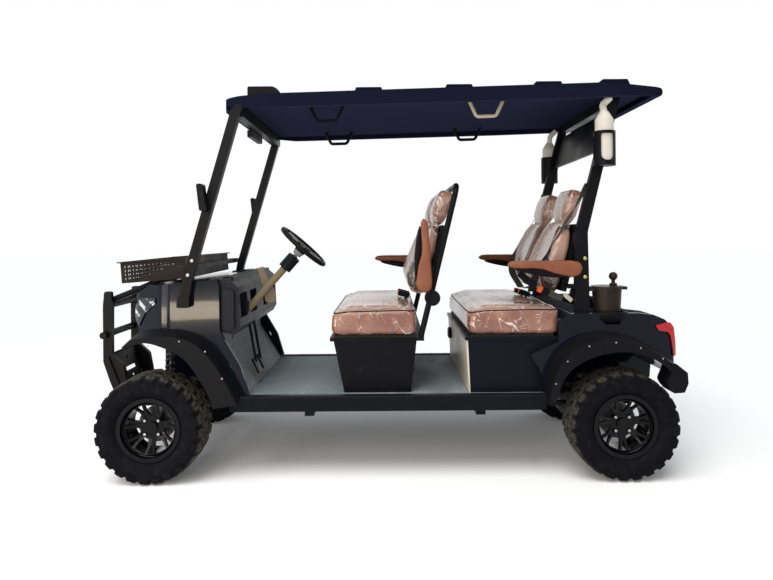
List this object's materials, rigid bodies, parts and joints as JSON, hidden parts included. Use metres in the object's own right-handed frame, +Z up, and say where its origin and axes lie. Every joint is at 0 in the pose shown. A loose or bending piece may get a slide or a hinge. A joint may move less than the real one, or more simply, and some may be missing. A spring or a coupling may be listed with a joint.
{
  "type": "golf cart",
  "caption": "Open golf cart with bench seats in two rows, flat roof on posts, front guard with cargo basket, steered front wheels and folding armrests.",
  "frame": {"origin": "on the floor under the middle of the overall box", "axes": "+X forward, +Y to the left side of the cart, +Z up"},
  "size_m": [3.2356, 1.36, 2.1599],
  "materials": {
    "frame_coat": "satin powder coat",
    "bare_steel": "dull machined steel",
    "spring_steel": "painted spring steel",
    "battery_case": "plain case",
    "floor_plastic": "textured moulding",
    "mat_rubber": "ribbed mat",
    "body_gloss": "gloss black with a navy tint",
    "flare_plastic": "grained moulding",
    "lamp_clear": "clear lens",
    "lamp_red": "red lens",
    "guard_coat": "black powder coat",
    "basket_coat": "dark brown powder coat",
    "dash_plastic": "soft grained moulding",
    "column_paint": "olive tan paint",
    "pedal_metal": "black with rubber pads",
    "roof_plastic": "satin navy black",
    "trim_plastic": "black moulding",
    "mirror_face": "black mirror housing",
    "pod_plastic": "black moulding",
    "cream_plastic": "cream moulding",
    "brown_leather": "saddle brown under clear film",
    "board_wood": "black painted board",
    "belt_fabric": "black belt hardware",
    "washer_bronze": "dark bronze",
    "rim_gloss": "gloss black alloy",
    "tyre_rubber": "tread rubber",
    "grip_plastic": "soft black grip"
  },
  "bodies": {
    "chassis": {"ball_washer": "washer_bronze", "battery_pack": "battery_case", "bottle_holders": "trim_plastic", "bull_bar": "guard_coat", "cargo_basket": "basket_coat", "chassis_frame": "frame_coat", "dashboard": "dash_plastic", "floor_deck": "floor_plastic", "floor_mat": "mat_rubber", "front_backrests": "brown_leather", "front_coil_overs": "spring_steel", "front_cowl": "body_gloss", "front_cushion": "brown_leather", "front_flares": "flare_plastic", "front_posts": "frame_coat", "front_seat_base": "pod_plastic", "front_seat_frame": "frame_coat", "front_wishbones": "frame_coat", "grab_handles": "grip_plastic", "headlights": "lamp_clear", "light_bar": "trim_plastic", "pedals": "pedal_metal", "rear_axle": "bare_steel", "rear_backrests": "brown_leather", "rear_body": "body_gloss", "rear_cushion": "brown_leather", "rear_flares": "flare_plastic", "rear_leaf_springs": "spring_steel", "rear_posts": "frame_coat", "rear_seat_base": "cream_plastic", "rear_seat_frame": "frame_coat", "roof": "roof_plastic", "roof_pod": "trim_plastic", "sand_bottles": "cream_plastic", "seat_belts": "belt_fabric", "seat_boards": "board_wood", "side_mirrors": "mirror_face", "side_sills": "body_gloss", "steering_column": "column_paint", "steering_gear": "bare_steel", "tail_lights": "lamp_red"},
    "steer_left": {"knuckle_left": "bare_steel"},
    "steer_right": {"knuckle_right": "bare_steel"},
    "rack": {"tie_rods": "bare_steel"},
    "steering_wheel": {"steering_wheel": "grip_plastic"},
    "wheel_front_left": {"rim_front_left": "rim_gloss", "tyre_front_left": "tyre_rubber"},
    "armrest_front_left": {"armrest_front_left": "brown_leather"},
    "wheel_front_right": {"rim_front_right": "rim_gloss", "tyre_front_right": "tyre_rubber"},
    "armrest_front_right": {"armrest_front_right": "brown_leather"},
    "wheel_rear_left": {"rim_rear_left": "rim_gloss", "tyre_rear_left": "tyre_rubber"},
    "armrest_rear_left": {"armrest_rear_left": "brown_leather"},
    "wheel_rear_right": {"rim_rear_right": "rim_gloss", "tyre_rear_right": "tyre_rubber"},
    "armrest_rear_right": {"armrest_rear_right": "brown_leather"}
  },
  "joints": [
    {"name": "steer_left_turn", "type": "hinge", "parent": "chassis", "child": "steer_left", "pos_m": [1.186, 0.43, 0.283], "axis": [0, 0, 1], "range_deg": [-30, 30]},
    {"name": "steer_right_turn", "type": "hinge", "parent": "chassis", "child": "steer_right", "pos_m": [1.186, -0.43, 0.283], "axis": [0, 0, 1], "range_deg": [-30, 30]},
    {"name": "rack_slide", "type": "slide", "parent": "chassis", "child": "rack", "axis": [0, -1, 0], "range_m": [-0.05, 0.05]},
    {"name": "steering_wheel_turn", "type": "hinge", "parent": "chassis", "child": "steering_wheel", "pos_m": [0.415, 0.29, 1.229], "axis": [-0.6691, 0, 0.7431], "range_deg": [-450, 450]},
    {"name": "wheel_front_left_spin", "type": "hinge", "parent": "steer_left", "child": "wheel_front_left", "pos_m": [1.186, 0.535, 0.283], "axis": [0, 1, 0], "continuous": true},
    {"name": "wheel_front_right_spin", "type": "hinge", "parent": "steer_right", "child": "wheel_front_right", "pos_m": [1.186, -0.535, 0.283], "axis": [0, 1, 0], "continuous": true},
    {"name": "wheel_rear_left_spin", "type": "hinge", "parent": "chassis", "child": "wheel_rear_left", "pos_m": [-1.304, 0.535, 0.283], "axis": [0, 1, 0], "continuous": true},
    {"name": "wheel_rear_right_spin", "type": "hinge", "parent": "chassis", "child": "wheel_rear_right", "pos_m": [-1.304, -0.535, 0.283], "axis": [0, 1, 0], "continuous": true},
    {"name": "armrest_front_left_fold", "type": "hinge", "parent": "chassis", "child": "armrest_front_left", "pos_m": [-0.253, 0.549, 1.099], "axis": [0, 1, 0], "range_deg": [0, 86]},
    {"name": "armrest_front_right_fold", "type": "hinge", "parent": "chassis", "child": "armrest_front_right", "pos_m": [-0.253, -0.549, 1.099], "axis": [0, -1, 0], "range_deg": [0, 86]},
    {"name": "armrest_rear_left_fold", "type": "hinge", "parent": "chassis", "child": "armrest_rear_left", "pos_m": [-0.988, 0.549, 1.099], "axis": [0, -1, 0], "range_deg": [0, 86]},
    {"name": "armrest_rear_right_fold", "type": "hinge", "parent": "chassis", "child": "armrest_rear_right", "pos_m": [-0.988, -0.549, 1.099], "axis": [0, -1, 0], "range_deg": [0, 86]}
  ],
  "couplings": [
    {"joint": "steer_right_turn", "follows": "steer_left_turn", "ratio": 1},
    {"joint": "rack_slide", "follows": "steer_left_turn", "m_per_rad": 0.095},
    {"joint": "steering_wheel_turn", "follows": "steer_left_turn", "ratio": 15}
  ]
}
